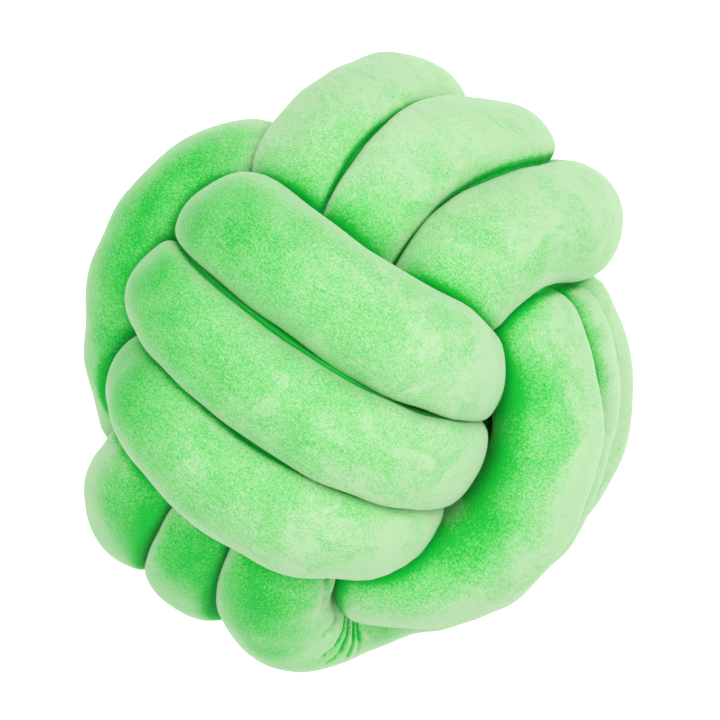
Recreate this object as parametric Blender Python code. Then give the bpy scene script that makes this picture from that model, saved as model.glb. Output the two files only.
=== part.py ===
"""A knot cushion: one long stuffed tube tied as a ball of three coils of three turns.

The tube runs through the front coil, then the cross coil, then the side coil, each at
right angles to the others, and both of its ends are tucked into the middle of the ball.
The ball lies on its back with +Z up, so the three front strands run along X over the top.
Lengths are in metres. The tables of small shifts are in millimetres.
"""
from collections import namedtuple

import bpy
import numpy as np

OBJECT_NAME = "knotted_tube"
COLLECTION_NAME = "knot_cushion"

# the stuffed tube
TUBE_RADIUS = 0.0298       # round and free, before its neighbours press it
BULGE_MOST = 1.22          # how far a pressed section may swell, as a share of the radius
STRAND_GAP = 0.0012        # half of the slit kept between two pressed strands
PRESS_POWER = 9.0          # how sharply a section goes from round to pressed flat
END_LENGTH = 0.030         # length of the rounded end at each end of the tube
END_SMALLEST = 0.25        # size of the last ring of an end, as a share of the section
SIDES = 16                 # faces around the tube
RING_STEP = 0.0145         # length of tube from one ring to the next
FINER_ALONG = 3            # samples of the pressing measured for each ring
FINER_AROUND = 2           # and for each side
LEAST_REACH = 1            # fine samples along the tube over which the least radius counts
MEAN_REACH = (2, 1)        # fine samples, along and around, over which the radii are evened

# how the ball sits
FLOOR_BELOW = 0.133        # height of the coils' common centre above the floor
CENTRE_X = 0.0030          # middle of the ball's box, measured from the coils' centre
CENTRE_Y = -0.0015

# each coil is a rounded oval: it reaches far along one axis and is narrow along another
Coil = namedtuple("Coil", "long short across middle_x reach waist crown_pitch waist_pitch")
X, Y, Z = 0, 1, 2
COILS = {
    "front": Coil(Z, X, Y, middle_x=-0.008, reach=0.110, waist=0.054, crown_pitch=0.054, waist_pitch=0.036),
    "cross": Coil(Y, Z, X, middle_x=-0.006, reach=0.117, waist=0.066, crown_pitch=0.048, waist_pitch=0.034),
    "side": Coil(X, Y, Z, middle_x=0.009, reach=0.100, waist=0.071, crown_pitch=0.046, waist_pitch=0.034),
}
OVAL_POWER = 3.0           # 2 is an ellipse, and more is squarer at the shoulders
STATION_ANGLE = 45         # a control point of the centre line every this many degrees

# where each turn lies across its coil, in the order the tube makes them
TURN_PLACES = {
    "front": (-1, 0, 1),
    "cross": (-1, 0, 1),
    "side": (0, -1, 1),
}

# the route of the tube: a stretch is either a run of a coil, from one angle to another,
# or a few points set by hand where the tube passes from one coil to the next
Run = namedtuple("Run", "coil first_angle last_angle")
Link = namedtuple("Link", "name points")
ROUTE = (
    Link("start in the core", ((10, 6, -16), (-28, -20, -18))),
    Run("front", -90, 900),
    Link("front to cross, at the back", ((-20, 62, -104), (-44, 88, -90), (-42, 112, -50))),
    Run("cross", 0, 855),
    Link("knee, cross to side", ((36, -122, 4), (60, -92, -22), (84.5, -65, -22), (103, -30, -8))),
    Run("side", 0, 585),
    Link("crossing under the other turns", ((-28, -50, -18), (12, -46, 6), (46, -70.5, 34))),
    Run("side", 675, 945),
    Link("end in the core", ((-40, -74, 30), (-10, -48, 22), (4, -16, 14))),
)

# hand-tied unevenness: a shift of one station of one turn, in millimetres
Shift = namedtuple("Shift", "coil turn angle x y z")
SHIFTS = (
    # lowest front strand
    Shift("front", 0, 270, 6, -1, 0),
    Shift("front", 0, 315, -6.5, 1.5, -5.5),
    Shift("front", 0, 0, -2, -3.5, -6),
    Shift("front", 0, 45, 8, -2.5, -5),
    Shift("front", 0, 180, 0, 0, 7),
    # middle front strand
    Shift("front", 1, 270, -2, 3, 0),
    Shift("front", 1, 315, -12.5, 1.5, 2),
    Shift("front", 1, 0, 0, -12, 0),
    Shift("front", 1, 45, 11, -10.5, 4.5),
    Shift("front", 1, 90, 2.5, -5, 0.5),
    Shift("front", 1, 180, 0, 0, 7),
    # highest front strand
    Shift("front", 2, 270, 0, -2, 0),
    Shift("front", 2, 315, -5, -6.5, 6),
    Shift("front", 2, 0, 1.5, -15, 5),
    Shift("front", 2, 45, 4, -17, 4.5),
    Shift("front", 2, 90, -4.5, -10, 0.5),
    Shift("front", 2, 180, 0, 0, 7),
    # left strand of the cross coil, at the top and then at the bottom
    Shift("cross", 0, 0, 16, 1, -0.5),
    Shift("cross", 0, 45, -1, -3.5, -3),
    Shift("cross", 0, 90, -1, -2, -2),
    Shift("cross", 0, 135, -3, 2, -1),
    Shift("cross", 0, 180, -1, 11, 0),
    Shift("cross", 0, 225, -1, 6, 2),
    # middle strand of the cross coil
    Shift("cross", 1, 315, 8, 0, 0),
    Shift("cross", 1, 0, 19.5, -2, -1.5),
    Shift("cross", 1, 45, -11.5, -3.5, 0),
    Shift("cross", 1, 90, -4, 0, 0),
    Shift("cross", 1, 135, -14, -1, 0),
    Shift("cross", 1, 180, -10, 2, -0.5),
    Shift("cross", 1, 225, -10, 0, 0),
    # right strand of the cross coil, which ends in the knee
    Shift("cross", 2, 315, 3, 0, 0),
    Shift("cross", 2, 0, 16.5, -7.5, 2),
    Shift("cross", 2, 45, 2.5, -8, -1),
    Shift("cross", 2, 90, -6, 0, 0),
    Shift("cross", 2, 135, -18, -1, 1),
    # middle strand of the side coil
    Shift("side", 0, 0, -6.5, -1.5, 0.5),
    Shift("side", 0, 45, -9, -8, 1.5),
    Shift("side", 0, 90, -1, -3, 0.5),
    Shift("side", 0, 225, -5, -4, 0),
    # lowest strand of the side coil
    Shift("side", 1, 270, 0, -4, 0),
    Shift("side", 1, 315, -6.5, 5, -6),
    Shift("side", 1, 0, -3, 0.5, -1),
    Shift("side", 1, 45, -5.5, -5, 0.5),
    Shift("side", 1, 90, -1, -3, 0.5),
    Shift("side", 1, 225, -4, -3, 0),
    # highest strand of the side coil
    Shift("side", 2, 315, 4, -3, 0),
    Shift("side", 2, 0, -1.5, 6.5, -2.5),
    Shift("side", 2, 45, -14, -8.5, -8),
    Shift("side", 2, 90, -2, -5.5, 1),
    Shift("side", 2, 135, -8, -3.5, 1),
    Shift("side", 2, 180, -6, 1.5, 1),
    Shift("side", 2, 225, 2, -1, -6),
)

# uneven filling: the girth at one station, as a share of the tube's usual girth
Fullness = namedtuple("Fullness", "coil turn angle share")
FULLNESS = (
    Fullness("front", 0, 315, 0.94),
    Fullness("front", 0, 0, 0.96),
    Fullness("front", 1, 0, 0.97),
    Fullness("front", 2, 315, 0.97),
    Fullness("front", 2, 0, 0.92),
    Fullness("front", 2, 45, 0.95),
    Fullness("cross", 0, 45, 0.92),
    Fullness("cross", 0, 135, 0.97),
    Fullness("cross", 1, 0, 0.99),
    Fullness("cross", 1, 45, 1.00),
    Fullness("cross", 1, 135, 0.97),
    Fullness("cross", 2, 315, 0.92),
    Fullness("cross", 2, 0, 0.94),
    Fullness("cross", 2, 45, 0.92),
    Fullness("side", 2, 315, 0.94),
    Fullness("side", 2, 0, 0.89),
    Fullness("side", 2, 45, 0.88),
)

# the cloth, until a fabric is made for it
CLOTH_COLOR = (0.36, 0.74, 0.33, 1.0)
CLOTH_ROUGHNESS = 0.9


def station_point(name, angle, shifts):
    """The control point of a coil at an angle counted on from its first turn."""
    coil = COILS[name]
    places = TURN_PLACES[name]
    turn = min((angle + 90) // 360, len(places) - 1)
    local = angle % 360
    cosine = np.cos(np.radians(angle))
    sine = np.sin(np.radians(angle))
    round_off = (abs(cosine) ** OVAL_POWER + abs(sine) ** OVAL_POWER) ** (-1.0 / OVAL_POWER)
    at_waist = abs(sine) > 0.9
    at_crown = abs(cosine) > 0.9
    pitch = 0.5 * (coil.crown_pitch + coil.waist_pitch)
    if at_waist:
        pitch = coil.waist_pitch
    if at_crown:
        pitch = coil.crown_pitch
    place = places[turn]
    if local == 270 and turn > 0:
        place = 0.5 * (places[turn - 1] + places[turn])
    point = np.zeros(3)
    point[coil.long] = coil.reach * round_off * cosine
    point[coil.short] = coil.waist * round_off * sine
    point[coil.across] = place * pitch
    point[X] += coil.middle_x
    return point + 0.001 * np.array(shifts.get((name, turn, local), (0, 0, 0)))


def control_points():
    """Every point that the centre line passes through, and how full the tube is there."""
    shifts = {}
    for row in SHIFTS:
        shifts[(row.coil, row.turn, row.angle)] = (row.x, row.y, row.z)
    shares = {}
    for row in FULLNESS:
        shares[(row.coil, row.turn, row.angle)] = row.share
    points = []
    fullness = []
    for stretch in ROUTE:
        if isinstance(stretch, Link):
            points.extend(0.001 * np.array(point) for point in stretch.points)
            fullness.extend(1.0 for _ in stretch.points)
            continue
        last_turn = len(TURN_PLACES[stretch.coil]) - 1
        for angle in range(stretch.first_angle, stretch.last_angle + 1, STATION_ANGLE):
            turn = min((angle + 90) // 360, last_turn)
            points.append(station_point(stretch.coil, angle, shifts))
            fullness.append(shares.get((stretch.coil, turn, angle % 360), 1.0))
    return np.array(points), np.array(fullness)


def smooth_line(points, step):
    """A smooth cubic curve through the points, sampled evenly along its length.

    The places of the samples and of the points along the curve come with it.
    """
    chord = np.sqrt(np.linalg.norm(np.diff(points, axis=0), axis=1))
    knots = np.concatenate([[0.0], np.cumsum(chord)])
    count = len(points)
    matrix = np.eye(count)
    bends = np.zeros((count, 3))
    slopes = np.diff(points, axis=0) / chord[:, None]
    for i in range(1, count - 1):
        matrix[i, i - 1:i + 2] = chord[i - 1], 2.0 * (chord[i - 1] + chord[i]), chord[i]
        bends[i] = 6.0 * (slopes[i] - slopes[i - 1])
    second = np.linalg.solve(matrix, bends)
    fine = np.linspace(0.0, knots[-1], 40 * count)
    piece = np.clip(np.searchsorted(knots, fine, side="right") - 1, 0, count - 2)
    ahead = (fine - knots[piece])[:, None]
    width = chord[piece][:, None]
    behind = width - ahead
    curve = (second[piece] * behind ** 3 + second[piece + 1] * ahead ** 3) / (6.0 * width)
    curve = curve + (points[piece] / width - second[piece] * width / 6.0) * behind
    curve = curve + (points[piece + 1] / width - second[piece + 1] * width / 6.0) * ahead
    along = np.concatenate([[0.0], np.cumsum(np.linalg.norm(np.diff(curve, axis=0), axis=1))])
    samples = int(round(along[-1] / step)) + 1
    even = np.linspace(0.0, along[-1], samples)
    line = np.stack([np.interp(even, along, curve[:, axis]) for axis in range(3)], axis=1)
    return line, even, np.interp(knots, fine, along)


def carried_frames(line):
    """Directions across the line that turn no more than the line itself does."""
    forward = np.gradient(line, axis=0)
    forward = forward / np.linalg.norm(forward, axis=1)[:, None]
    first = np.cross(forward[0], (0.3, 0.2, 1.0))
    across = [first / np.linalg.norm(first)]
    for i in range(len(line) - 1):
        step = line[i + 1] - line[i]
        mirrored = across[i] - 2.0 * (step @ across[i]) / (step @ step) * step
        heading = forward[i] - 2.0 * (step @ forward[i]) / (step @ step) * step
        turn = forward[i + 1] - heading
        if turn @ turn > 1e-18:
            mirrored = mirrored - 2.0 * (turn @ mirrored) / (turn @ turn) * turn
        mirrored = mirrored - (mirrored @ forward[i + 1]) * forward[i + 1]
        across.append(mirrored / np.linalg.norm(mirrored))
    across = np.array(across)
    return across, np.cross(forward, across)


def section_directions(across, beside, sides):
    """Unit directions around the line, one row of them for each sample."""
    angles = 2.0 * np.pi * np.arange(sides) / sides
    part_across = across[:, None, :] * np.cos(angles)[None, :, None]
    part_beside = beside[:, None, :] * np.sin(angles)[None, :, None]
    return part_across + part_beside


def room_around(line, directions, everything):
    """Distance, in each direction, to the surface halfway to the nearest other strand."""
    room = np.empty(directions.shape[:2])
    for i, centre in enumerate(line):
        away = everything - centre
        squared = (away ** 2).sum(axis=1)
        near = (squared < 0.13 ** 2) & (squared > 1e-8)
        facing = directions[i] @ away[near].T
        halfway = squared[near] / (2.0 * np.where(facing > 1e-6, facing, np.nan))
        room[i] = np.fmin.reduce(halfway, axis=1, initial=0.2)
    return room


def pressed_sections(room, gap, free):
    """Radii of each section: the neighbours press it, and it swells to keep its girth."""
    limit = np.maximum(room - gap, 0.004)
    sides = limit.shape[1]
    step = np.cos(2.0 * np.pi / sides)

    def squeezed(swollen):
        return (swollen[:, None] ** -PRESS_POWER + limit ** -PRESS_POWER) ** (-1.0 / PRESS_POWER)

    def girth(radii):
        following = np.roll(radii, -1, axis=1)
        return np.sqrt(radii ** 2 + following ** 2 - 2.0 * radii * following * step).sum(axis=1)

    low = 0.9 * free
    high = BULGE_MOST * free
    for _ in range(24):
        middle = 0.5 * (low + high)
        slack = girth(squeezed(middle)) < 2.0 * np.pi * free
        low = np.where(slack, middle, low)
        high = np.where(slack, high, middle)
    return squeezed(0.5 * (low + high))


def moving_least(values, reach):
    """The least value within reach along the tube."""
    padded = np.pad(values, ((reach, reach), (0, 0)), mode="edge")
    return np.min([padded[i:i + len(values)] for i in range(2 * reach + 1)], axis=0)


def moving_mean(values, reach):
    """A bell-weighted mean within reach, along the tube and around it."""
    along, around = reach
    weights = np.hanning(2 * along + 3)[1:-1]
    weights = weights / weights.sum()
    padded = np.pad(values, ((along, along), (0, 0)), mode="edge")
    mean = sum(weight * padded[i:i + len(values)] for i, weight in enumerate(weights))
    weights = np.hanning(2 * around + 3)[1:-1]
    weights = weights / weights.sum()
    return sum(weight * np.roll(mean, i - around, axis=1) for i, weight in enumerate(weights))


def flattened(radii, line, directions):
    """Cut the sections off at the floor, so that the ball rests on flat spots."""
    downward = -directions[:, :, Z]
    height = line[:, None, Z] + FLOOR_BELOW
    to_floor = np.where(downward > 1e-3, height / np.maximum(downward, 1e-3), 1.0)
    return np.minimum(radii, to_floor)


def rounded_ends(radii, along):
    """Draw in the sections near both ends of the tube."""
    from_end = np.minimum(along, along[-1] - along)
    inward = np.clip(1.0 - from_end / END_LENGTH, 0.0, 1.0)
    scale = np.maximum(np.sqrt(1.0 - inward ** 2), END_SMALLEST)
    return radii * scale[:, None]


def tube_vertices():
    """Grid of points on the tube's surface: rings along it, and points around each ring."""
    points, fullness = control_points()
    line, along, station_along = smooth_line(points, RING_STEP / FINER_ALONG)
    free = TUBE_RADIUS * np.interp(along, station_along, fullness)
    across, beside = carried_frames(line)
    directions = section_directions(across, beside, SIDES * FINER_AROUND)
    radii = pressed_sections(room_around(line, directions, line), STRAND_GAP, free)
    radii = moving_mean(moving_least(radii, LEAST_REACH), MEAN_REACH)
    radii = rounded_ends(radii, along)
    radii = flattened(radii, line, directions)
    grid = line[:, None, :] + radii[:, :, None] * directions
    grid = grid[::FINER_ALONG, ::FINER_AROUND]
    return grid - np.array((CENTRE_X, CENTRE_Y, -FLOOR_BELOW))


def tube_mesh(grid):
    """Quads between the rings, and a fan of triangles over each end."""
    rings, sides = grid.shape[:2]
    vertices = grid.reshape(-1, 3).tolist()
    start_pole = len(vertices)
    end_pole = start_pole + 1
    vertices.append(grid[0].mean(axis=0).tolist())
    vertices.append(grid[-1].mean(axis=0).tolist())
    faces = []
    for ring in range(rings - 1):
        here = ring * sides
        ahead = here + sides
        for side in range(sides):
            beside = (side + 1) % sides
            faces.append((here + side, here + beside, ahead + beside, ahead + side))
    last = (rings - 1) * sides
    for side in range(sides):
        beside = (side + 1) % sides
        faces.append((start_pole, beside, side))
        faces.append((end_pole, last + side, last + beside))
    mesh = bpy.data.meshes.new(OBJECT_NAME)
    mesh.from_pydata(vertices, [], faces)
    mesh.update()
    mesh.shade_smooth()
    return mesh


def cloth_material():
    """Plain light green cloth."""
    material = bpy.data.materials.new("plush_cloth")
    material.use_nodes = True
    shader = material.node_tree.nodes["Principled BSDF"]
    shader.inputs["Base Color"].default_value = CLOTH_COLOR
    shader.inputs["Roughness"].default_value = CLOTH_ROUGHNESS
    material.diffuse_color = CLOTH_COLOR
    return material


def clear_scene():
    """Remove whatever the new file holds."""
    for item in list(bpy.data.objects):
        bpy.data.objects.remove(item, do_unlink=True)


def main():
    """Build the tube as one closed body."""
    clear_scene()
    collection = bpy.data.collections.new(COLLECTION_NAME)
    bpy.context.scene.collection.children.link(collection)
    mesh = tube_mesh(tube_vertices())
    mesh.materials.append(cloth_material())
    tube = bpy.data.objects.new(OBJECT_NAME, mesh)
    collection.objects.link(tube)


if __name__ == "__main__":
    main()
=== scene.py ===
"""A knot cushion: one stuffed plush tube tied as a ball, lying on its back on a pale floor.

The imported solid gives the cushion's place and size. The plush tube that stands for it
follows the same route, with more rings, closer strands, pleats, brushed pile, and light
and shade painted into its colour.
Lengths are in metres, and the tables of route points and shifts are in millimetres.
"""
from __future__ import annotations

import logging
from dataclasses import dataclass
from enum import Enum
from typing import Any

import bpy
import numpy as np
from mathutils import Matrix, Vector


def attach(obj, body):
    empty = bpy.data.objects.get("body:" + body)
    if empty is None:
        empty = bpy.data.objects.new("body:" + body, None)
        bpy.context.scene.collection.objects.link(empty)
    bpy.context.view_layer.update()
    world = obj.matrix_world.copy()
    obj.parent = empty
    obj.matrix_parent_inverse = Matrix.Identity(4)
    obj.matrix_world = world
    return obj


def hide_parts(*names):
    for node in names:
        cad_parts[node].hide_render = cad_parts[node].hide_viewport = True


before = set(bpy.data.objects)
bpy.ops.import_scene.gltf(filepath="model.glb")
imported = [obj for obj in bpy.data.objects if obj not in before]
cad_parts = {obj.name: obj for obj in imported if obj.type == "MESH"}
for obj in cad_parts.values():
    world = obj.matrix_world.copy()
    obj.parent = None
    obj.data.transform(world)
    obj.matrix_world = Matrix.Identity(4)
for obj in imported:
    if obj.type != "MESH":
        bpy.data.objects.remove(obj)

LOG = logging.getLogger("knot_cushion")
MILLIMETRE = 0.001
QUARTER_TURN = 90
FULL_TURN = 360

# where the coils' common centre lies in the frame, in metres; the floor is at height 0
CENTRE = (-0.0030, 0.0015, 0.133)
# how finely the spline is read, and what its first direction across is square to
STEPS_A_STATION = 60
FIRST_DIRECTION = (0.3, 0.2, 1.0)
# squared lengths and lengths so small that they count as nothing
NO_TURN = 1e-18
NO_DISTANCE = 1e-8
NO_LENGTH = 1e-12

Point = tuple[float, float, float]
Colour = tuple[float, float, float]
# the low and the high end of a smooth rise
Rise = tuple[float, float]


class CoilName(Enum):
    """The three coils of the ball, in the order the tube makes them."""

    FRONT = "front"
    CROSS = "cross"
    SIDE = "side"


class Axis(Enum):
    """An axis of the ball, by its place in a point."""

    X = 0
    Y = 1
    Z = 2


# a station of a coil: the coil, the turn and the angle in degrees
Place = tuple[CoilName, int, int]


@dataclass(frozen=True)
class Coil:
    """A rounded oval of three turns: far along one axis and narrow along another.

    Painted shade is deepest where the surface faces the coil's shade direction, and painted
    light is palest where the surface has turned away from that by the coil's span. A turn
    with a greater lift lies over one with less. Where a turn lies under another strand,
    painted crease shade reaches tuck millimetres from it.
    """

    long: Axis
    short: Axis
    across: Axis
    middle_x: float
    reach: float
    waist: float
    crown_pitch: float
    waist_pitch: float
    turn_places: tuple[int, int, int]
    shade_facing: Point
    light_span: float
    lifts: tuple[float, float, float]
    tuck: float


@dataclass(frozen=True)
class Run:
    """A stretch of the tube that follows one coil, between two angles in degrees."""

    coil: CoilName
    first_angle: int
    last_angle: int


@dataclass(frozen=True)
class Link:
    """A stretch of the tube through a few given points, in millimetres."""

    name: str
    points: tuple[Point, ...]


FRONT, CROSS, SIDE = CoilName.FRONT, CoilName.CROSS, CoilName.SIDE

# each coil's shade direction and span paint light and shade by which way a surface faces
COILS: dict[CoilName, Coil] = {
    FRONT: Coil(Axis.Z, Axis.X, Axis.Y, middle_x=-0.008, reach=0.110, waist=0.054,
                crown_pitch=0.054, waist_pitch=0.036, turn_places=(-1, 0, 1),
                shade_facing=(-0.90, 0.10, 0.42), light_span=1.60,
                lifts=(0.015, 0.029, 0.043), tuck=3.5),
    CROSS: Coil(Axis.Y, Axis.Z, Axis.X, middle_x=-0.006, reach=0.117, waist=0.066,
                crown_pitch=0.048, waist_pitch=0.034, turn_places=(-1, 0, 1),
                shade_facing=(0.10, -0.52, 0.845), light_span=0.82,
                lifts=(0.0, 0.014, 0.028), tuck=18.0),
    SIDE: Coil(Axis.X, Axis.Y, Axis.Z, middle_x=0.009, reach=0.100, waist=0.071,
               crown_pitch=0.046, waist_pitch=0.034, turn_places=(0, -1, 1),
               shade_facing=(-0.44, 0.15, 0.885), light_span=0.75,
               lifts=(0.014, 0.0, 0.028), tuck=24.0),
}

KNEE = "knee, cross to side"

ROUTE: tuple[Run | Link, ...] = (
    Link("start in the core", ((10, 6, -16), (-28, -20, -18))),
    Run(FRONT, -90, 900),
    Link("front to cross, at the back", ((-20, 62, -104), (-44, 88, -90), (-42, 112, -50))),
    Run(CROSS, 0, 855),
    Link(KNEE, ((36, -122, 4), (60, -92, -22), (84.5, -65, -22), (103, -30, -8))),
    Run(SIDE, 0, 585),
    Link("crossing under the other turns", ((-28, -50, -18), (12, -46, 6), (46, -70.5, 34))),
    Run(SIDE, 675, 945),
    Link("end in the core", ((-40, -74, 30), (-10, -48, 22), (4, -16, 14))),
)

# hand-tied unevenness: how far a station moves, in millimetres
SHIFTS: dict[Place, Point] = {
    (FRONT, 0, 270): (6, -1, 0),
    (FRONT, 0, 315): (-6.5, 1.5, -5.5),
    (FRONT, 0, 0): (-2, -3, -6),
    (FRONT, 0, 45): (7, -3, -5),
    (FRONT, 0, 180): (0, 0, 7),
    (FRONT, 1, 270): (-2, 3, 0),
    (FRONT, 1, 315): (-12.5, 1.5, 2),
    (FRONT, 1, 0): (0, -12, 0),
    (FRONT, 1, 45): (10, -11, 4.5),
    (FRONT, 1, 90): (2.5, -5, 0.5),
    (FRONT, 1, 180): (0, 0, 7),
    (FRONT, 2, 270): (0, -2, 0),
    (FRONT, 2, 315): (-5, -6.5, 6),
    (FRONT, 2, 0): (1.5, -15.5, 5),
    (FRONT, 2, 45): (5, -16.5, 4.5),
    (FRONT, 2, 90): (-4.5, -10, 0.5),
    (FRONT, 2, 180): (0, 0, 7),
    (CROSS, 0, 0): (16, 1, -0.5),
    (CROSS, 0, 45): (-0.5, -3, -3),
    (CROSS, 0, 90): (-1, -2, -2),
    (CROSS, 0, 135): (-3.5, 2, -1),
    (CROSS, 0, 180): (-1, 11, 0),
    (CROSS, 0, 225): (-1, 6, 2),
    (CROSS, 1, 315): (8, 0, 0),
    (CROSS, 1, 0): (20.5, -1.5, -1.5),
    (CROSS, 1, 45): (-10.5, -3.5, -0.5),
    (CROSS, 1, 90): (-4, 0, 0),
    (CROSS, 1, 135): (-15, -1.5, 0),
    (CROSS, 1, 180): (-10, 2, -0.5),
    (CROSS, 1, 225): (-10, 0, 0),
    (CROSS, 2, 315): (3, 0, 0),
    (CROSS, 2, 0): (16.5, -7.5, 2),
    (CROSS, 2, 45): (3, -8, -1),
    (CROSS, 2, 90): (-6, 0, 0),
    (CROSS, 2, 135): (-18, -1, 1),
    (SIDE, 0, 0): (-6.5, -1.5, 0.5),
    (SIDE, 0, 45): (-9, -8, 1.5),
    (SIDE, 0, 90): (-1, -3, 0.5),
    (SIDE, 0, 225): (-5, -4, 0),
    (SIDE, 1, 270): (0, -4, 0),
    (SIDE, 1, 315): (-6.5, 5, -6),
    (SIDE, 1, 0): (-3, 0.5, -1),
    (SIDE, 1, 45): (-5.5, -5, 0.5),
    (SIDE, 1, 90): (-1, -3, 0.5),
    (SIDE, 1, 225): (-4, -3, 0),
    (SIDE, 2, 315): (4, -3, 0),
    (SIDE, 2, 0): (-1.5, 6.5, -2.5),
    (SIDE, 2, 45): (-14, -8.5, -8),
    (SIDE, 2, 90): (-2, -5.5, 1),
    (SIDE, 2, 135): (-8, -3.5, 1),
    (SIDE, 2, 180): (-6, 1.5, 1),
    (SIDE, 2, 225): (2, -1, -6),
}

# uneven filling: the tube's girth at a station, as a share of its usual girth
FULLNESS: dict[Place, float] = {
    (FRONT, 0, 315): 0.93,
    (FRONT, 0, 0): 0.95,
    (FRONT, 1, 0): 0.97,
    (FRONT, 2, 315): 0.955,
    (FRONT, 2, 0): 0.905,
    (FRONT, 2, 45): 0.95,
    (CROSS, 0, 45): 0.94,
    (CROSS, 0, 135): 0.97,
    (CROSS, 1, 0): 0.99,
    (CROSS, 1, 45): 0.99,
    (CROSS, 1, 135): 0.97,
    (CROSS, 2, 315): 0.92,
    (CROSS, 2, 0): 0.94,
    (CROSS, 2, 45): 0.90,
    (SIDE, 2, 315): 0.94,
    (SIDE, 2, 0): 0.89,
    (SIDE, 2, 45): 0.88,
}

# stations whose tuck, the reach of the painted crease shade, isn't their coil's, in millimetres
TUCKS: dict[Place, float] = {
    (FRONT, 0, 315): 11.0,
    (FRONT, 0, 0): 7.0,
    (FRONT, 1, 315): 8.0,
    **{(CROSS, turn, angle): 9.0 for turn in range(3) for angle in (315, 0)},
    **{(CROSS, turn, angle): 8.0 for turn in range(3) for angle in (45, 90)},
    **{(SIDE, turn, angle): 4.0 for turn in (0, 1) for angle in (315, 0, 45)},
    (SIDE, 2, 315): 14.0,
    (SIDE, 2, 45): 10.0,
    (SIDE, 2, 90): 10.0,
    (SIDE, 2, 135): 14.0,
    (SIDE, 2, 180): 16.0,
    **{(SIDE, turn, angle): 10.0 for turn in (0, 1) for angle in (180, 225)},
}


@dataclass(frozen=True)
class Fold:
    """A fold pressed into the cloth, from one spot on the tube's skin to another.

    A spot is millimetres along the tube from a station, and degrees around it from the
    side that faces out of the ball. Depth and width are in millimetres.
    """

    near: Place | str
    start: tuple[float, float]
    finish: tuple[float, float]
    depth: float
    width: float


FOLDS: tuple[Fold, ...] = (
    # the pinch beside the lowest front strand
    Fold(KNEE, (-76, -50), (-62, -60), 3.0, 1.3),
    Fold(KNEE, (-62, -60), (-52, -66), 1.5, 1.6),
    # the pleats on the inside of the knee, from its root outward
    Fold(KNEE, (-44, -92), (-30, -84), 1.8, 1.6),
    Fold(KNEE, (-30, -84), (-33, -66), 1.4, 1.8),
    Fold(KNEE, (-21, -105), (-12.5, -86), 2.2, 1.5),
    Fold(KNEE, (-12.5, -86), (-10.5, -69), 2.0, 1.4),
    Fold(KNEE, (-10.5, -69), (-13, -54), 1.1, 1.4),
    Fold(KNEE, (-12, -102), (-5, -83), 2.2, 1.5),
    Fold(KNEE, (-5, -83), (-3.5, -65), 2.0, 1.4),
    Fold(KNEE, (-3.5, -65), (-6, -47), 1.0, 1.4),
    Fold(KNEE, (-2, -98), (4, -76), 2.0, 1.5),
    Fold(KNEE, (4, -76), (5, -52), 1.3, 1.5),
    Fold(KNEE, (5, -92), (10, -68), 1.6, 1.5),
    Fold(KNEE, (10, -68), (11, -52), 0.9, 1.5),
    # a mark across the highest side strand
    Fold((SIDE, 2, 0), (0.5, -84), (-1, -38), 0.7, 1.3),
)


@dataclass(frozen=True)
class Stations:
    """The points that the centre line passes through, and what is known at each.

    Beside the fullness these are the coil's direction where painted shade is deepest, the
    span of its painted light, the turn's lift and the tuck. The numbers say which is each
    coil's station and each link's first one.
    """

    points: np.ndarray
    fullness: np.ndarray
    against: np.ndarray
    span: np.ndarray
    lift: np.ndarray
    tuck: np.ndarray
    numbers: dict[Place | str, int]


@dataclass(frozen=True)
class KnotRoute:
    """The path that the tube's centre line takes through the three coils."""

    oval_power: float = 3.0
    station_angle: int = 45
    near_end: float = 0.9

    @staticmethod
    def turn(coil: Coil, angle: int) -> int:
        """Return the number of a coil's turn at an angle: each starts a quarter turn early."""
        return min((angle + QUARTER_TURN) // FULL_TURN, len(coil.turn_places) - 1)

    def station(self, run: Run, angle: int) -> np.ndarray:
        """Find one control point of a coil.

        The point is on a rounded oval: the reach and the waist times the cosine and sine
        of the angle, over the oval_power norm of both. The turn sets its place across, and
        where one turn passes into the next, that is midway between theirs.

        Args:
            run: The stretch that the point belongs to.
            angle: Degrees, counted on from the coil's first turn.

        Returns:
            The point, from the coils' common centre.
        """
        coil = COILS[run.coil]
        turn = self.turn(coil, angle)
        local = angle % FULL_TURN
        cosine, sine = np.cos(np.radians(angle)), np.sin(np.radians(angle))
        power = self.oval_power
        norm = (abs(cosine) ** power + abs(sine) ** power) ** (1.0 / power)
        pitch = 0.5 * (coil.crown_pitch + coil.waist_pitch)
        if abs(sine) > self.near_end:
            pitch = coil.waist_pitch
        if abs(cosine) > self.near_end:
            pitch = coil.crown_pitch
        place = float(coil.turn_places[turn])
        if local == FULL_TURN - QUARTER_TURN and turn > 0:
            place = 0.5 * (coil.turn_places[turn - 1] + place)
        point = np.zeros(3)
        point[coil.long.value] = coil.reach * cosine / norm
        point[coil.short.value] = coil.waist * sine / norm
        point[coil.across.value] = place * pitch
        point[Axis.X.value] += coil.middle_x
        return point + MILLIMETRE * np.array(SHIFTS.get((run.coil, turn, local), (0, 0, 0)))

    def stations(self) -> Stations:
        """List every point that the centre line passes through, in the tube's order.

        A link takes its coil's values, and its turn's lift, from the stretch before it.

        Returns:
            The stations.
        """
        rows: list[tuple[Any, ...]] = []
        numbers: dict[Place | str, int] = {}
        coil = COILS[FRONT]
        lift = coil.lifts[0]
        for stretch in ROUTE:
            if isinstance(stretch, Link):
                numbers[stretch.name] = len(rows)
                for point in stretch.points:
                    rows.append((MILLIMETRE * np.array(point), 1.0,
                                 coil.shade_facing, coil.light_span, lift, coil.tuck))
                continue
            coil = COILS[stretch.coil]
            for angle in range(stretch.first_angle, stretch.last_angle + 1, self.station_angle):
                place = (stretch.coil, self.turn(coil, angle), angle % FULL_TURN)
                numbers[place] = len(rows)
                lift = coil.lifts[place[1]]
                rows.append((self.station(stretch, angle), FULLNESS.get(place, 1.0),
                             coil.shade_facing, coil.light_span, lift, TUCKS.get(place, coil.tuck)))
        return Stations(*(np.array(column) for column in zip(*rows)), numbers)


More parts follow.
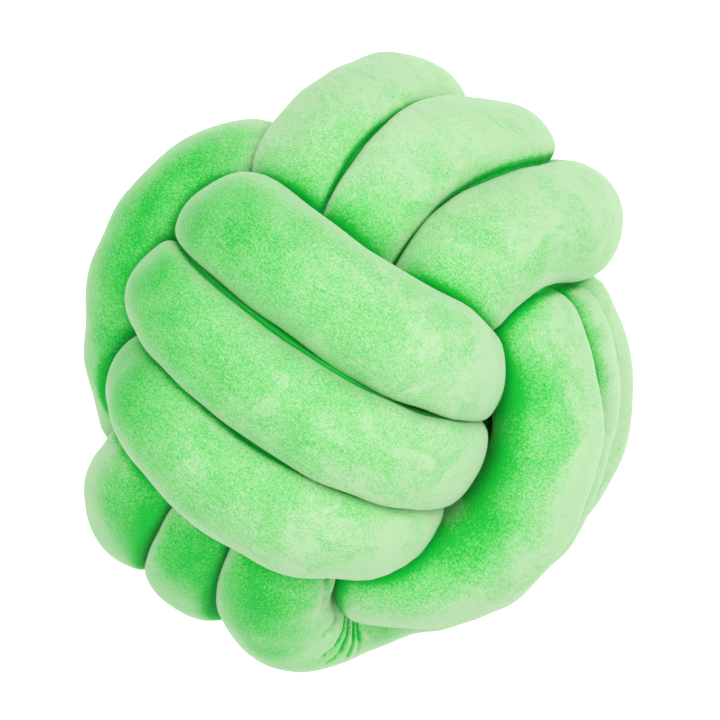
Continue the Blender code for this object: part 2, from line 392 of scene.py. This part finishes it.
@dataclass
class CentreLine:
    """The tube's centre line, sampled evenly, with directions carried along it.

    Forward, across and beside are unit directions at each sample, square to each other.
    Along and station_along are how far along the line each sample and each station is.
    """

    points: np.ndarray
    along: np.ndarray
    forward: np.ndarray
    across: np.ndarray
    beside: np.ndarray
    station_along: np.ndarray

    @classmethod
    def through(cls, points: np.ndarray, step: float) -> CentreLine:
        """Run a smooth line through points.

        The line is the natural cubic spline over centripetal chords, so each knot's second
        derivative comes from one tridiagonal set of equations. Its directions turn no more
        than the line does: each is the last one mirrored twice (double reflection).

        Args:
            points: The points that the line passes through.
            step: Distance between two samples.

        Returns:
            The sampled line.
        """
        chord = np.sqrt(np.linalg.norm(np.diff(points, axis=0), axis=1))
        knots = np.concatenate([[0.0], np.cumsum(chord)])
        count = len(points)
        inner = np.arange(1, count - 1)
        matrix = np.eye(count)
        matrix[inner, inner - 1] = chord[:-1]
        matrix[inner, inner] = 2.0 * (chord[:-1] + chord[1:])
        matrix[inner, inner + 1] = chord[1:]
        bends = np.zeros((count, 3))
        bends[1:-1] = 6.0 * np.diff(np.diff(points, axis=0) / chord[:, None], axis=0)
        second = np.linalg.solve(matrix, bends)
        fine = np.linspace(0.0, knots[-1], STEPS_A_STATION * count)
        piece = np.clip(np.searchsorted(knots, fine, side="right") - 1, 0, count - 2)
        width = chord[piece][:, None]
        ahead = (fine - knots[piece])[:, None]
        behind = width - ahead
        curve = (second[piece] * behind ** 3 + second[piece + 1] * ahead ** 3) / (6.0 * width)
        curve += (points[piece] / width - second[piece] * width / 6.0) * behind
        curve += (points[piece + 1] / width - second[piece + 1] * width / 6.0) * ahead
        steps = np.linalg.norm(np.diff(curve, axis=0), axis=1)
        travelled = np.concatenate([[0.0], np.cumsum(steps)])
        even = np.linspace(0.0, travelled[-1], int(round(travelled[-1] / step)) + 1)
        line = np.stack([np.interp(even, travelled, curve[:, axis]) for axis in range(3)], axis=1)
        forward = np.gradient(line, axis=0)
        forward /= np.linalg.norm(forward, axis=1)[:, None]
        across = cls._carried(line, forward)
        beside = np.cross(forward, across)
        return cls(line, even, forward, across, beside, np.interp(knots, fine, travelled))

    @staticmethod
    def _carried(line: np.ndarray, forward: np.ndarray) -> np.ndarray:
        """Carry one direction along the line by double reflection, and return one a sample."""
        first = np.cross(forward[0], FIRST_DIRECTION)
        carried = [first / np.linalg.norm(first)]
        for i, step in enumerate(np.diff(line, axis=0)):
            mirrored = carried[i] - 2.0 * (step @ carried[i]) / (step @ step) * step
            heading = forward[i] - 2.0 * (step @ forward[i]) / (step @ step) * step
            turn = forward[i + 1] - heading
            if turn @ turn > NO_TURN:
                mirrored = mirrored - 2.0 * (turn @ mirrored) / (turn @ turn) * turn
            mirrored = mirrored - (mirrored @ forward[i + 1]) * forward[i + 1]
            carried.append(mirrored / np.linalg.norm(mirrored))
        return np.array(carried)

    def directions(self, sides: int) -> np.ndarray:
        """Return unit directions around the line: across times cosine plus beside times sine."""
        angles = 2.0 * np.pi * np.arange(sides) / sides
        return (self.across[:, None, :] * np.cos(angles)[None, :, None]
                + self.beside[:, None, :] * np.sin(angles)[None, :, None])

    def spread(self, values: np.ndarray) -> np.ndarray:
        """Spread one value, or one row of values, a station evenly over the samples between."""
        columns = values.reshape(len(values), -1).T
        spread = [np.interp(self.along, self.station_along, column) for column in columns]
        return np.stack(spread, axis=1).reshape(-1, *values.shape[1:])

    def degrees_around(self, directions: np.ndarray) -> np.ndarray:
        """Measure directions around the line from the side that faces out of the ball.

        That side is the sample's own place less its part along the line. The angle is the
        arctangent of the direction's parts along the side's left and along the side.

        Args:
            directions: Unit directions around each sample.

        Returns:
            Degrees, from -180 to 180.
        """
        outward = self.points - (self.points * self.forward).sum(axis=1)[:, None] * self.forward
        outward /= np.linalg.norm(outward, axis=1)[:, None]
        left = np.cross(self.forward, outward)
        return np.degrees(np.arctan2((directions * left[:, None]).sum(axis=2),
                                     (directions * outward[:, None]).sum(axis=2)))


class Socket:
    """A node's output, with operators that add Math nodes."""

    def __init__(self, tree: bpy.types.NodeTree, source: bpy.types.NodeSocket) -> None:
        """Keep the tree and the output."""
        self.tree = tree
        self.source = source

    def math(self, operation: str, *others: Socket | float,
             first: Socket | float | None = None) -> Socket:
        """Add one Math node.

        Args:
            operation: Blender's name of the operation.
            others: The values after the first.
            first: The first value, where it isn't this socket.

        Returns:
            The node's result.
        """
        node = self.tree.nodes.new("ShaderNodeMath")
        node.operation = operation
        for index, value in enumerate((self if first is None else first, *others)):
            if isinstance(value, Socket):
                self.tree.links.new(value.source, node.inputs[index])
            else:
                node.inputs[index].default_value = value
        return Socket(self.tree, node.outputs[0])

    def __add__(self, other: Socket | float) -> Socket:
        """Sum."""
        return self.math("ADD", other)

    def __sub__(self, other: Socket | float) -> Socket:
        """Difference."""
        return self.math("SUBTRACT", other)

    def __rsub__(self, other: float) -> Socket:
        """Difference from a number."""
        return self.math("SUBTRACT", self, first=other)

    def __mul__(self, other: Socket | float) -> Socket:
        """Product."""
        return self.math("MULTIPLY", other)

    def __pow__(self, other: float) -> Socket:
        """Power."""
        return self.math("POWER", other)

    __radd__ = __add__

    def clamped(self) -> Socket:
        """Limit to between 0 and 1."""
        return self.math("MINIMUM", 1.0).math("MAXIMUM", 0.0)


class NodeBench:
    """Adds nodes to one material.

    A Mix node has sockets of the same names for each type of value, so those for colours
    are named here by their numbers.
    """

    mix_colours = (6, 7)
    mix_result = 2

    def __init__(self, name: str) -> None:
        """Start a material with only its output."""
        self.material = bpy.data.materials.new(name)
        self.material.use_nodes = True
        self.tree = self.material.node_tree
        self.tree.nodes.clear()

    def node(self, kind: str, settings: dict[str, Any] | None = None,
             **values: Any) -> bpy.types.Node:
        """Add a node.

        Args:
            kind: The node's type.
            settings: Its properties, set before its sockets.
            values: A value or a Socket for each input, with _ for a space in its name.

        Returns:
            The node.
        """
        node = self.tree.nodes.new(kind)
        for name, value in (settings or {}).items():
            setattr(node, name, value)
        for name, value in values.items():
            socket = node.inputs[name.replace("_", " ")]
            if isinstance(value, Socket):
                self.tree.links.new(value.source, socket)
            else:
                socket.default_value = value
        return node

    def out(self, node: bpy.types.Node, name: str) -> Socket:
        """Wrap one of a node's outputs."""
        return Socket(self.tree, node.outputs[name])

    def smooth(self, value: Socket, low: float, high: float) -> Socket:
        """Rise smoothly from 0 at low to 1 at high."""
        node = self.node("ShaderNodeMapRange", {"interpolation_type": "SMOOTHSTEP"},
                         Value=value, From_Min=low, From_Max=high)
        return self.out(node, "Result")

    def attribute(self, name: str) -> Socket:
        """Read one of the mesh's own attributes."""
        return self.out(self.node("ShaderNodeAttribute", {"attribute_name": name}), "Fac")

    def noise(self, where: Socket, noise: Noise) -> Socket:
        """Add fractal noise at these coordinates, and return its value, near 0.5 on average."""
        node = self.node("ShaderNodeTexNoise", Vector=where, Scale=noise.scale,
                         Detail=noise.detail, Roughness=noise.rough, Distortion=noise.twist)
        return Socket(self.tree, node.outputs[0])

    def blend(self, factor: Socket, first: Socket | Colour, second: Socket | Colour) -> Socket:
        """Mix two colours, each a Socket or a colour."""
        node = self.node("ShaderNodeMix", {"data_type": "RGBA", "clamp_factor": True})
        self.tree.links.new(factor.source, node.inputs[0])
        for index, colour in zip(self.mix_colours, (first, second)):
            if isinstance(colour, Socket):
                self.tree.links.new(colour.source, node.inputs[index])
            else:
                node.inputs[index].default_value = (*colour, 1.0)
        return Socket(self.tree, node.outputs[self.mix_result])


@dataclass(frozen=True)
class Noise:
    """Fractal noise: cells to a metre, finer octaves, their strength, and how it bends itself."""

    scale: float
    detail: float
    rough: float
    twist: float = 0.0


@dataclass(frozen=True)
class PlushFinish:
    """Short-pile plush, with light and shade painted into its colour: pale green on the side
    turned from each coil's shade direction, deep green on the side that faces it and in the
    creases.

    The colours run from deep over middle to pale with the painted light, less the painted
    crease shade, plus random tone. The edge colour is a painted sheen for surfaces seen from
    the side. The hollow is painted shade on a strand's skin where it lies under another, and
    the seam colour is a brighter green, painted light, nearest the seam itself.
    """

    # deep, middle and pale run from painted shade to painted light, also moved by random tone
    deep: Colour = (0.014, 0.585, 0.052)
    middle: Colour = (0.155, 0.70, 0.16)
    pale: Colour = (0.52, 0.780, 0.455)
    # painted sheen on surfaces seen from the side
    edge: Colour = (0.62, 0.85, 0.56)
    # painted shade on a strand's skin where it lies under another
    hollow: Colour = (0.001, 0.44, 0.048)
    # painted light: a brighter green in the deepest crease, against the shade there
    seam: Colour = (0.030, 0.98, 0.13)
    middle_at: float = 0.35
    patches: Noise = Noise(26.0, 3.0, 0.55, 0.9)
    strokes: Noise = Noise(80.0, 3.0, 0.6, 1.2)
    wisps: Noise = Noise(30.0, 3.0, 0.55, 1.4)
    mottle: Noise = Noise(420.0, 2.0, 0.6)
    grain: Noise = Noise(1000.0, 2.0, 0.7)
    patch_share: float = 0.70
    patch_loss: float = 0.7
    stroke_share: float = 0.25
    brushed_share: float = 0.50
    mottle_share: float = 0.30
    grain_share: float = 1.60
    stroke_rise: Rise = (0.38, 0.60)
    wisp_rise: Rise = (0.44, 0.58)
    # how far creases take painted light, and how the painted sheen and crease shade spread
    crease_loss: float = 0.80
    crease_power: float = 1.2
    lit_side_guard: float = 2.0
    tuck_rise: Rise = (0.22, 0.60)
    tuck_loss: float = 0.95
    edge_rise: Rise = (0.22, 0.85)
    edge_share: float = 0.75
    facing_blend: float = 0.35
    depth_rise: Rise = (0.42, 0.80)
    depth_mottle: float = 1.5
    seam_rise: Rise = (0.85, 1.0)
    sheen_tint: Colour = (1.0, 0.95, 0.97)
    sheen_weight: float = 0.05
    sheen_roughness: float = 0.35
    roughness: float = 0.85
    specular: float = 0.08
    pile_height: float = 0.0009
    pile_strength: float = 0.8
    pile_mottle: float = 0.5

    def material(self) -> bpy.types.Material:
        """Build the material.

        The painted light and tone is the root of the lit-side share, less the painted shade
        that creases take, plus each noise's distance from a half times its share. The brushed
        marks are strokes that wisps lift or press, more so on the painted lit side. The more
        painted light, the less creases and patches take.

        Returns:
            The plush, which reads the tube's crease, lit-side and under attributes.
        """
        bench = NodeBench("plush_pile")
        where = bench.out(bench.node("ShaderNodeTexCoord"), "Object")
        crease, lit_side, under = (bench.attribute(name) for name in ("crease", "lit_side", "under"))
        patches, strokes, wisps, mottle, grain = (
            bench.noise(where, noise)
            for noise in (self.patches, self.strokes, self.wisps, self.mottle, self.grain))
        lifted = bench.smooth(wisps, *self.wisp_rise) - 0.5
        brushed = bench.smooth(strokes, *self.stroke_rise) * lifted * lit_side
        # painted shade where the strand lies under another takes the painted light and sheen away
        tucked = bench.smooth(crease, *self.tuck_rise) * under
        # painted shade in the creases and folds, less on the painted lit side
        open_to_loss = (1.0 - lit_side * self.lit_side_guard).clamped()
        lost = crease ** self.crease_power * self.crease_loss * open_to_loss
        # painted light and shade, plus random tone from patches, strokes, mottle and grain
        light_and_tone = ((lit_side * (1.0 - tucked * self.tuck_loss)) ** 0.5 - lost
               + (patches - 0.5) * (1.0 - lit_side * self.patch_loss) * self.patch_share
               + (strokes - 0.5) * self.stroke_share + brushed * self.brushed_share
               + (mottle - 0.5) * self.mottle_share + (grain - 0.5) * self.grain_share).clamped()
        low = bench.blend((light_and_tone * (1.0 / self.middle_at)).clamped(), self.deep, self.middle)
        past_middle = ((light_and_tone - self.middle_at) * (1.0 / (1.0 - self.middle_at))).clamped()
        body = bench.blend(past_middle, low, self.pale)
        # painted sheen: the base colour pales where a surface is seen from the side, but not where
        # tucked under another strand
        facing = bench.out(bench.node("ShaderNodeLayerWeight", Blend=self.facing_blend), "Facing")
        edge = bench.smooth(facing, *self.edge_rise) * self.edge_share * (1.0 - tucked)
        rim = bench.blend(edge, body, self.edge)
        # painted shade under another strand, with a painted brighter green at the seam
        hollow = bench.blend(bench.smooth(crease, *self.seam_rise), self.hollow, self.seam)
        uneven = 1.0 + (mottle - 0.5) * self.depth_mottle
        depth = (bench.smooth(crease, *self.depth_rise) * uneven).clamped()
        colour = bench.blend(depth * under, rim, hollow)
        bump = bench.node("ShaderNodeBump", Strength=self.pile_strength, Distance=self.pile_height,
                          Height=mottle * self.pile_mottle + grain)
        shader = bench.node("ShaderNodeBsdfPrincipled", Base_Color=colour,
                            Roughness=self.roughness, Normal=bench.out(bump, "Normal"))
        shader.inputs["Specular IOR Level"].default_value = self.specular
        shader.inputs["Sheen Weight"].default_value = self.sheen_weight
        shader.inputs["Sheen Roughness"].default_value = self.sheen_roughness
        shader.inputs["Sheen Tint"].default_value = (*self.sheen_tint, 1.0)
        bench.node("ShaderNodeOutputMaterial", Surface=bench.out(shader, "BSDF"))
        bench.material.diffuse_color = (*self.pale, 1.0)
        return bench.material


@dataclass(frozen=True)
class MattFinish:
    """A plain matt surface, for the studio."""

    name: str
    colour: Colour
    glow: float
    roughness: float = 0.9

    def material(self) -> bpy.types.Material:
        """Build the material, and return it."""
        bench = NodeBench(self.name)
        shader = bench.node("ShaderNodeBsdfPrincipled", Base_Color=(*self.colour, 1.0),
                            Roughness=self.roughness)
        shader.inputs["Emission Color"].default_value = (*self.colour, 1.0)
        shader.inputs["Emission Strength"].default_value = self.glow
        bench.node("ShaderNodeOutputMaterial", Surface=bench.out(shader, "BSDF"))
        return bench.material


@dataclass
class PlushTube:
    """The stuffed tube: it keeps its girth, and its own strands press it out of round.

    The strides and the means are counted in samples, rings or points around a ring. The
    direction named over points to the viewer of the cushion's face: it tells which of two
    strands lies over the other, and so where painted shade falls on the lower one.
    """

    name: str = "plush_tube"
    finish: PlushFinish = PlushFinish()
    # the cloth and its filling
    radius: float = 0.0298
    end_length: float = 0.030
    end_smallest: float = 0.25
    bulge_most: float = 1.22
    swell_least: float = 0.9
    halvings: int = 18
    # how strands press on each other
    sight: float = 0.13
    facing_least: float = 1e-6
    room_most: float = 0.2
    room_least: float = 0.004
    strand_gap: float = 0.0005
    press_power: float = 16.0
    downward_least: float = 1e-3
    # the mesh
    sides: int = 96
    sample_step: float = 0.0006
    neighbour_stride: int = 6
    ring_stride: int = 6
    mean_along: int = 10
    mean_around: int = 2
    # creases, and which strand lies over another, for the painted crease shade
    own_length: float = 0.060
    crease_least: float = 0.003
    over: Point = (0.144, 0.139, 0.980)
    under_span: float = 0.018
    under_along: int = 2
    under_around: int = 3
    # folds and dents
    fold_sight: float = 3.0
    fold_shade: float = 0.0025
    dent_height: float = 0.0007
    dent_waves: tuple[float, ...] = (0.060, 0.045, 0.034, 0.026, 0.020)
    dents_a_wave: int = 5
    dent_share: float = 3.0
    dent_seed: int = 20

    def _room(self, line: CentreLine, directions: np.ndarray) -> np.ndarray:
        """Find how far the tube could swell before it meets another strand.

        In each direction that is the distance to the surface halfway to the nearest other
        sample of the line: its squared distance over twice its part along the direction.

        Args:
            line: The centre line.
            directions: Unit directions around each sample.

        Returns:
            One distance for each sample and direction.
        """
        others = line.points[::self.neighbour_stride]
        room = np.empty(directions.shape[:2])
        for i, centre in enumerate(line.points):
            away = others - centre
            squared = (away ** 2).sum(axis=1)
            near = (squared < self.sight ** 2) & (squared > NO_DISTANCE)
            facing = directions[i] @ away[near].T
            halfway = squared[near] / (2.0 * np.where(facing > self.facing_least, facing, np.nan))
            room[i] = np.fmin.reduce(halfway, axis=1, initial=self.room_most)
        return room

    def _beside(self, line: CentreLine, rings: np.ndarray, grid: np.ndarray,
                lift: np.ndarray) -> tuple[np.ndarray, np.ndarray]:
        """Look from each point of the skin to the nearest other strand.

        The gap is the distance to that strand's nearest sample less the tube's radius. The
        share is a half plus the sample's height over this ring's own, over the span.

        Args:
            line: The centre line.
            rings: The numbers of the samples that have a ring.
            grid: Points of the rings, and around each ring.
            lift: How far each sample's turn is laid over the others of its coil.

        Returns:
            The gap at each point, and the share to which the strand lies under the other.
        """
        step = self.neighbour_stride
        others = line.points[::step]
        along = line.along[::step]
        over = np.array(self.over)
        height = others @ over + lift[::step]
        gap = np.empty(grid.shape[:2])
        below = np.empty(grid.shape[:2])
        for i, ring in enumerate(rings):
            centre = line.points[ring]
            near = np.flatnonzero((np.abs(along - line.along[ring]) > self.own_length)
                                  & (((others - centre) ** 2).sum(axis=1) < self.sight ** 2))
            squared = ((grid[i] ** 2).sum(axis=1)[:, None] + (others[near] ** 2).sum(axis=1)
                       - 2.0 * grid[i] @ others[near].T)
            nearest = squared.argmin(axis=1)
            least = np.take_along_axis(squared, nearest[:, None], axis=1)[:, 0]
            gap[i] = np.sqrt(np.maximum(least, 0.0)) - self.radius
            below[i] = height[near[nearest]] - centre @ over - lift[ring]
        under = np.clip(0.5 + below / self.under_span, 0.0, 1.0)
        return np.maximum(gap, 0.0), self._evened(under, self.under_along, self.under_around)

    def _pressed(self, room: np.ndarray, free_radius: np.ndarray) -> np.ndarray:
        """Press each section against its neighbours.

        A radius is the press_power soft minimum of one free radius and the room. The free
        radius is found by halving, so that the section's girth is that of the round tube.

        Args:
            room: How far the tube could swell, for each sample and direction.
            free_radius: The radius of the tube left alone, for each sample.

        Returns:
            The radii.
        """
        limit = np.maximum(room - self.strand_gap, self.room_least)
        turn = np.cos(2.0 * np.pi / limit.shape[1])
        pressed = limit ** -self.press_power

        def squeezed(free: np.ndarray) -> np.ndarray:
            """Return the radii for one free radius a section."""
            return (free[:, None] ** -self.press_power + pressed) ** (-1.0 / self.press_power)

        low = self.swell_least * free_radius
        high = self.bulge_most * free_radius
        for _ in range(self.halvings):
            middle = 0.5 * (low + high)
            radii = squeezed(middle)
            after = np.roll(radii, -1, axis=1)
            girth = np.sqrt(radii ** 2 + after ** 2 - 2.0 * radii * after * turn).sum(axis=1)
            slack = girth < 2.0 * np.pi * free_radius
            low = np.where(slack, middle, low)
            high = np.where(slack, high, middle)
        return squeezed(0.5 * (low + high))

    @staticmethod
    def _evened(values: np.ndarray, along: int, around: int) -> np.ndarray:
        """Take a bell-weighted mean over some rings each way, and some points each way."""
        bells = [np.hanning(2 * count + 3)[1:-1] for count in (along, around)]
        forth, aside = (bell / bell.sum() for bell in bells)
        padded = np.pad(values, ((along, along), (0, 0)), mode="edge")
        mean = sum(weight * padded[i:i + len(values)] for i, weight in enumerate(forth))
        return sum(weight * np.roll(mean, i - around, axis=1) for i, weight in enumerate(aside))

    def _dents(self, points: np.ndarray) -> np.ndarray:
        """Give soft unevenness of the filling: a sum of seeded sine waves through space."""
        draw = np.random.default_rng(self.dent_seed)
        total = np.zeros(points.shape[:-1])
        for wavelength in self.dent_waves:
            for _ in range(self.dents_a_wave):
                heading = draw.normal(size=3)
                heading *= 2.0 * np.pi / wavelength / np.linalg.norm(heading)
                share = wavelength / self.dent_waves[0]
                total += share * np.sin(points @ heading + draw.uniform(0.0, 2.0 * np.pi))
        return self.dent_height * total / self.dent_share

    def _folds(self, line: CentreLine, stations: Stations,
               directions: np.ndarray) -> tuple[np.ndarray, np.ndarray]:
        """Press the folds into the skin.

        A fold's depth falls off as a bell of the distance to the straight line between its
        two spots, measured on the skin laid out flat.

        Args:
            line: The centre line.
            stations: The stations that the folds are measured from.
            directions: Unit directions around each sample.

        Returns:
            The depth at each sample and direction, and whether a fold is near each sample.
        """
        depth = np.zeros(directions.shape[:2])
        near = np.zeros(len(depth), dtype=bool)
        radius = self.radius / MILLIMETRE
        arc = radius * np.radians(line.degrees_around(directions))
        for fold in FOLDS:
            along = (line.along - line.station_along[stations.numbers[fold.near]]) / MILLIMETRE
            first, last = (np.array((forth, radius * np.radians(turned)))
                           for forth, turned in (fold.start, fold.finish))
            low, high = sorted((first[0], last[0]))
            margin = self.fold_sight * fold.width
            rows = (along > low - margin) & (along < high + margin)
            forth = np.broadcast_to(along[rows, None], arc[rows].shape)
            from_first = np.stack([forth, arc[rows]], axis=2) - first
            span = last - first
            share = np.clip(from_first @ span / (span ** 2).sum(), 0.0, 1.0)
            away = np.linalg.norm(from_first - share[:, :, None] * span, axis=2)
            pressed = MILLIMETRE * fold.depth * np.exp(-(away / fold.width) ** 2)
            depth[rows] = np.maximum(depth[rows], pressed)
            near |= rows
        return depth, near

    def build(self) -> bpy.types.Object:
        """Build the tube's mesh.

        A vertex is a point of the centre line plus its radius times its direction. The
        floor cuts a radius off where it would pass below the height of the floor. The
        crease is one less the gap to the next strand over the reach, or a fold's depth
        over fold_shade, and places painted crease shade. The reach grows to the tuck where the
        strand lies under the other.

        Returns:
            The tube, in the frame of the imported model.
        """
        stations = KnotRoute().stations()
        line = CentreLine.through(stations.points, self.sample_step)
        fullness = line.spread(stations.fullness)
        directions = line.directions(self.sides)
        pressed = self._pressed(self._room(line, directions), self.radius * fullness)
        radii = self._evened(pressed, self.mean_along, self.mean_around)
        radii = radii + self._dents(line.points[:, None, :] + radii[:, :, None] * directions)
        folds, folded = self._folds(line, stations, directions)
        from_end = np.minimum(line.along, line.along[-1] - line.along)
        inward = np.clip(1.0 - from_end / self.end_length, 0.0, 1.0)
        radii = radii * np.maximum(np.sqrt(1.0 - inward ** 2), self.end_smallest)[:, None]
        downward = -directions[:, :, 2]
        height = (line.points[:, 2] + CENTRE[2])[:, None]
        to_floor = height / np.maximum(downward, self.downward_least)
        to_floor = np.where(downward > self.downward_least, to_floor, np.inf)
        radii = np.minimum(radii - folds, to_floor)
        kept = np.flatnonzero(folded | (np.arange(len(radii)) % self.ring_stride == 0))
        grid = line.points[kept, None, :] + radii[kept, :, None] * directions[kept]
        gap, under = self._beside(line, kept, grid, line.spread(stations.lift))
        # crease, under and the lit-side share place the plush's painted light and shade
        tuck = MILLIMETRE * line.spread(stations.tuck)[kept, None]
        reach = self.crease_least + (tuck - self.crease_least) * under
        beside = np.clip(1.0 - gap / reach, 0.0, 1.0)
        crease = np.maximum(beside, np.clip(folds[kept] / self.fold_shade, 0.0, 1.0))
        grid = grid + np.array(CENTRE)
        against, span = line.spread(stations.against)[kept], line.spread(stations.span)[kept]
        # this share is painted light and shade, by which way the surface faces
        lit_side = self._lit_side(grid, against, span)
        return self._object(grid, {"crease": crease, "lit_side": lit_side, "under": under})

    @staticmethod
    def _lit_side(grid: np.ndarray, against: np.ndarray, span: np.ndarray) -> np.ndarray:
        """Tell how far the surface turns away from where the painted shade is deepest.

        It is one less the unit normal's part along the direction where painted shade is deepest,
        or along that direction's mirror image below, over the span. The normal is the cross
        product of the steps around the ring and along the tube.

        Args:
            grid: Points of the rings, and around each ring.
            against: The direction that a surface faces where painted shade is deepest, for each
                ring.
            span: The span, for each ring.

        Returns:
            A share from 0 to 1 at each point: 0 is painted shade, 1 is painted light.
        """
        around = np.roll(grid, -1, axis=1) - np.roll(grid, 1, axis=1)
        normal = np.cross(around, np.gradient(grid, axis=0))
        normal /= np.maximum(np.linalg.norm(normal, axis=2), NO_LENGTH)[:, :, None]
        normal[:, :, 2] = np.abs(normal[:, :, 2])
        against = against / np.linalg.norm(against, axis=1)[:, None]
        facing = (normal * against[:, None, :]).sum(axis=2)
        return np.clip((1.0 - facing) / span[:, None], 0.0, 1.0)

    def _object(self, grid: np.ndarray, shares: dict[str, np.ndarray]) -> bpy.types.Object:
        """Turn a grid of rings into one closed mesh.

        A point at the middle of the first ring and one at the middle of the last close its
        ends. These two lie out of sight in the core, and each share there is one.

        Args:
            grid: Points of the rings, and around each ring.
            shares: A share from 0 to 1 at each point, for each attribute that the mesh gets.

        Returns:
            The object.
        """
        rings, sides = grid.shape[:2]
        ends = grid[:1].mean(axis=1), grid[-1:].mean(axis=1)
        points = np.concatenate([grid.reshape(-1, 3), *ends])
        ring = sides * np.arange(rings - 1)[:, None]
        side = np.arange(sides)[None, :]
        beside = (side + 1) % sides
        after = ring + sides
        quads = np.stack([ring + side, ring + beside, after + beside, after + side], axis=2)
        side, beside = side[0], beside[0]
        last = (rings - 1) * sides
        start = np.stack([np.full(sides, rings * sides), beside, side], axis=1)
        finish = np.stack([np.full(sides, rings * sides + 1), last + side, last + beside], axis=1)
        corners = np.concatenate([quads.reshape(-1), start.reshape(-1), finish.reshape(-1)])
        sizes = np.concatenate([np.full((rings - 1) * sides, 4), np.full(2 * sides, 3)])
        mesh = bpy.data.meshes.new(self.name)
        mesh.vertices.add(len(points))
        mesh.vertices.foreach_set("co", points.reshape(-1).astype(np.float32))
        mesh.loops.add(len(corners))
        mesh.loops.foreach_set("vertex_index", corners.astype(np.int32))
        mesh.polygons.add(len(sizes))
        mesh.polygons.foreach_set("loop_start", (np.cumsum(sizes) - sizes).astype(np.int32))
        mesh.update(calc_edges=True)
        mesh.validate()
        mesh.shade_smooth()
        for name, share in shares.items():
            values = np.concatenate([share.reshape(-1), [1.0, 1.0]]).astype(np.float32)
            mesh.attributes.new(name, "FLOAT", "POINT").data.foreach_set("value", values)
        tube = bpy.data.objects.new(self.name, mesh)
        bpy.context.scene.collection.objects.link(tube)
        return tube

    def dress(self, tube: bpy.types.Object) -> None:
        """Give the tube its plush, hang it on the root body, and hide the imported tube it stands
        for.

        Args:
            tube: The built tube.
        """
        tube.data.materials.append(self.finish.material())
        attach(tube, "root")
        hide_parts("knotted_tube")


@dataclass(frozen=True)
class SoftLight:
    """A large soft light: which way it stands, seen in the picture, and how strong it is."""

    name: str
    right: float
    up: float
    toward: float
    size: float
    power: float


@dataclass
class Studio:
    """The pale floor, the soft lights and the camera.

    The camera looks from toward_camera at the coils' centre, moved aim_right and aim_up in
    the picture. The picture's right is turned from the x axis by right_angle degrees.
    """

    toward_camera: Point = (0.144, 0.139, 0.9797)
    right_angle: float = 28.0
    distance: float = 1.45
    lens: float = 145.0
    sensor: float = 36.0
    clip: tuple[float, float] = (0.05, 50.0)
    aim_right: float = 0.0015
    aim_up: float = 0.0015
    floor_half: float = 6.0
    floor: MattFinish = MattFinish("studio_floor", (0.80, 0.80, 0.80), 0.70)
    sky: float = 0.60
    lights: tuple[SoftLight, ...] = (
        SoftLight("key_light", 0.50, 0.35, 1.50, 0.9, 6.8),
        SoftLight("fill_light", -0.55, 0.15, 1.45, 0.9, 4.4),
        SoftLight("low_light", -0.05, -0.55, 1.50, 0.9, 4.5),
    )

    def _axes(self) -> tuple[Vector, Vector, Vector]:
        """Return the picture's right and up, and the direction to the camera."""
        toward = Vector(self.toward_camera).normalized()
        angle = np.radians(self.right_angle)
        right = Vector((np.cos(angle), np.sin(angle), 0.0))
        right = (right - right.dot(toward) * toward).normalized()
        return right, toward.cross(right), toward

    @staticmethod
    def _turned(right: Vector, up: Vector, back: Vector, place: Vector) -> Matrix:
        """Return the matrix of a camera or light at a place, which looks against back."""
        matrix = Matrix((right, up, back)).transposed().to_4x4()
        matrix.translation = place
        return matrix

    def build(self) -> None:
        """Make the floor, the lights, the sky and the camera."""
        mesh = bpy.data.meshes.new("studio_floor")
        half = self.floor_half
        corners = [(-half, -half, 0), (half, -half, 0), (half, half, 0), (-half, half, 0)]
        mesh.from_pydata(corners, [], [(0, 1, 2, 3)])
        mesh.materials.append(self.floor.material())
        floor = bpy.data.objects.new("studio_floor", mesh)
        scene = bpy.context.scene
        scene.collection.objects.link(floor)
        scene.view_settings.view_transform = "Standard"
        world = bpy.data.worlds.new("studio_sky")
        world.use_nodes = True
        background = world.node_tree.nodes["Background"]
        background.inputs["Color"].default_value = (1.0, 1.0, 1.0, 1.0)
        background.inputs["Strength"].default_value = self.sky
        scene.world = world
        right, up, toward = self._axes()
        centre = Vector(CENTRE)
        for light in self.lights:
            self._light(light, centre, right, up, toward)
        camera = bpy.data.objects.new("camera", bpy.data.cameras.new("camera"))
        camera.data.lens = self.lens
        camera.data.sensor_width = self.sensor
        camera.data.clip_start, camera.data.clip_end = self.clip
        aim = centre + self.aim_right * right + self.aim_up * up
        camera.matrix_world = self._turned(right, up, toward, aim + self.distance * toward)
        scene.collection.objects.link(camera)
        scene.camera = camera

    def _light(self, light: SoftLight, centre: Vector, right: Vector, up: Vector,
               toward: Vector) -> None:
        """Hang one soft light, facing the cushion."""
        lamp = bpy.data.lights.new(light.name, "AREA")
        lamp.shape = "DISK"
        lamp.size = light.size
        lamp.energy = light.power
        item = bpy.data.objects.new(light.name, lamp)
        offset = light.right * right + light.up * up + light.toward * toward
        back = offset.normalized()
        side = Vector((0.0, 0.0, 1.0)).cross(back).normalized()
        item.matrix_world = self._turned(side, back.cross(side), back, centre + offset)
        bpy.context.scene.collection.objects.link(item)


def main() -> None:
    """Build the cushion and the studio."""
    logging.basicConfig(level=logging.INFO, format="%(name)s: %(message)s")
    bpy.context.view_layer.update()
    maker = PlushTube()
    tube = maker.build()
    maker.dress(tube)
    vertices, faces = len(tube.data.vertices), len(tube.data.polygons)
    LOG.info("%s: %d vertices, %d faces", tube.name, vertices, faces)
    Studio().build()
    LOG.info("studio: floor, lights and camera")


if __name__ == "__main__":
    main()
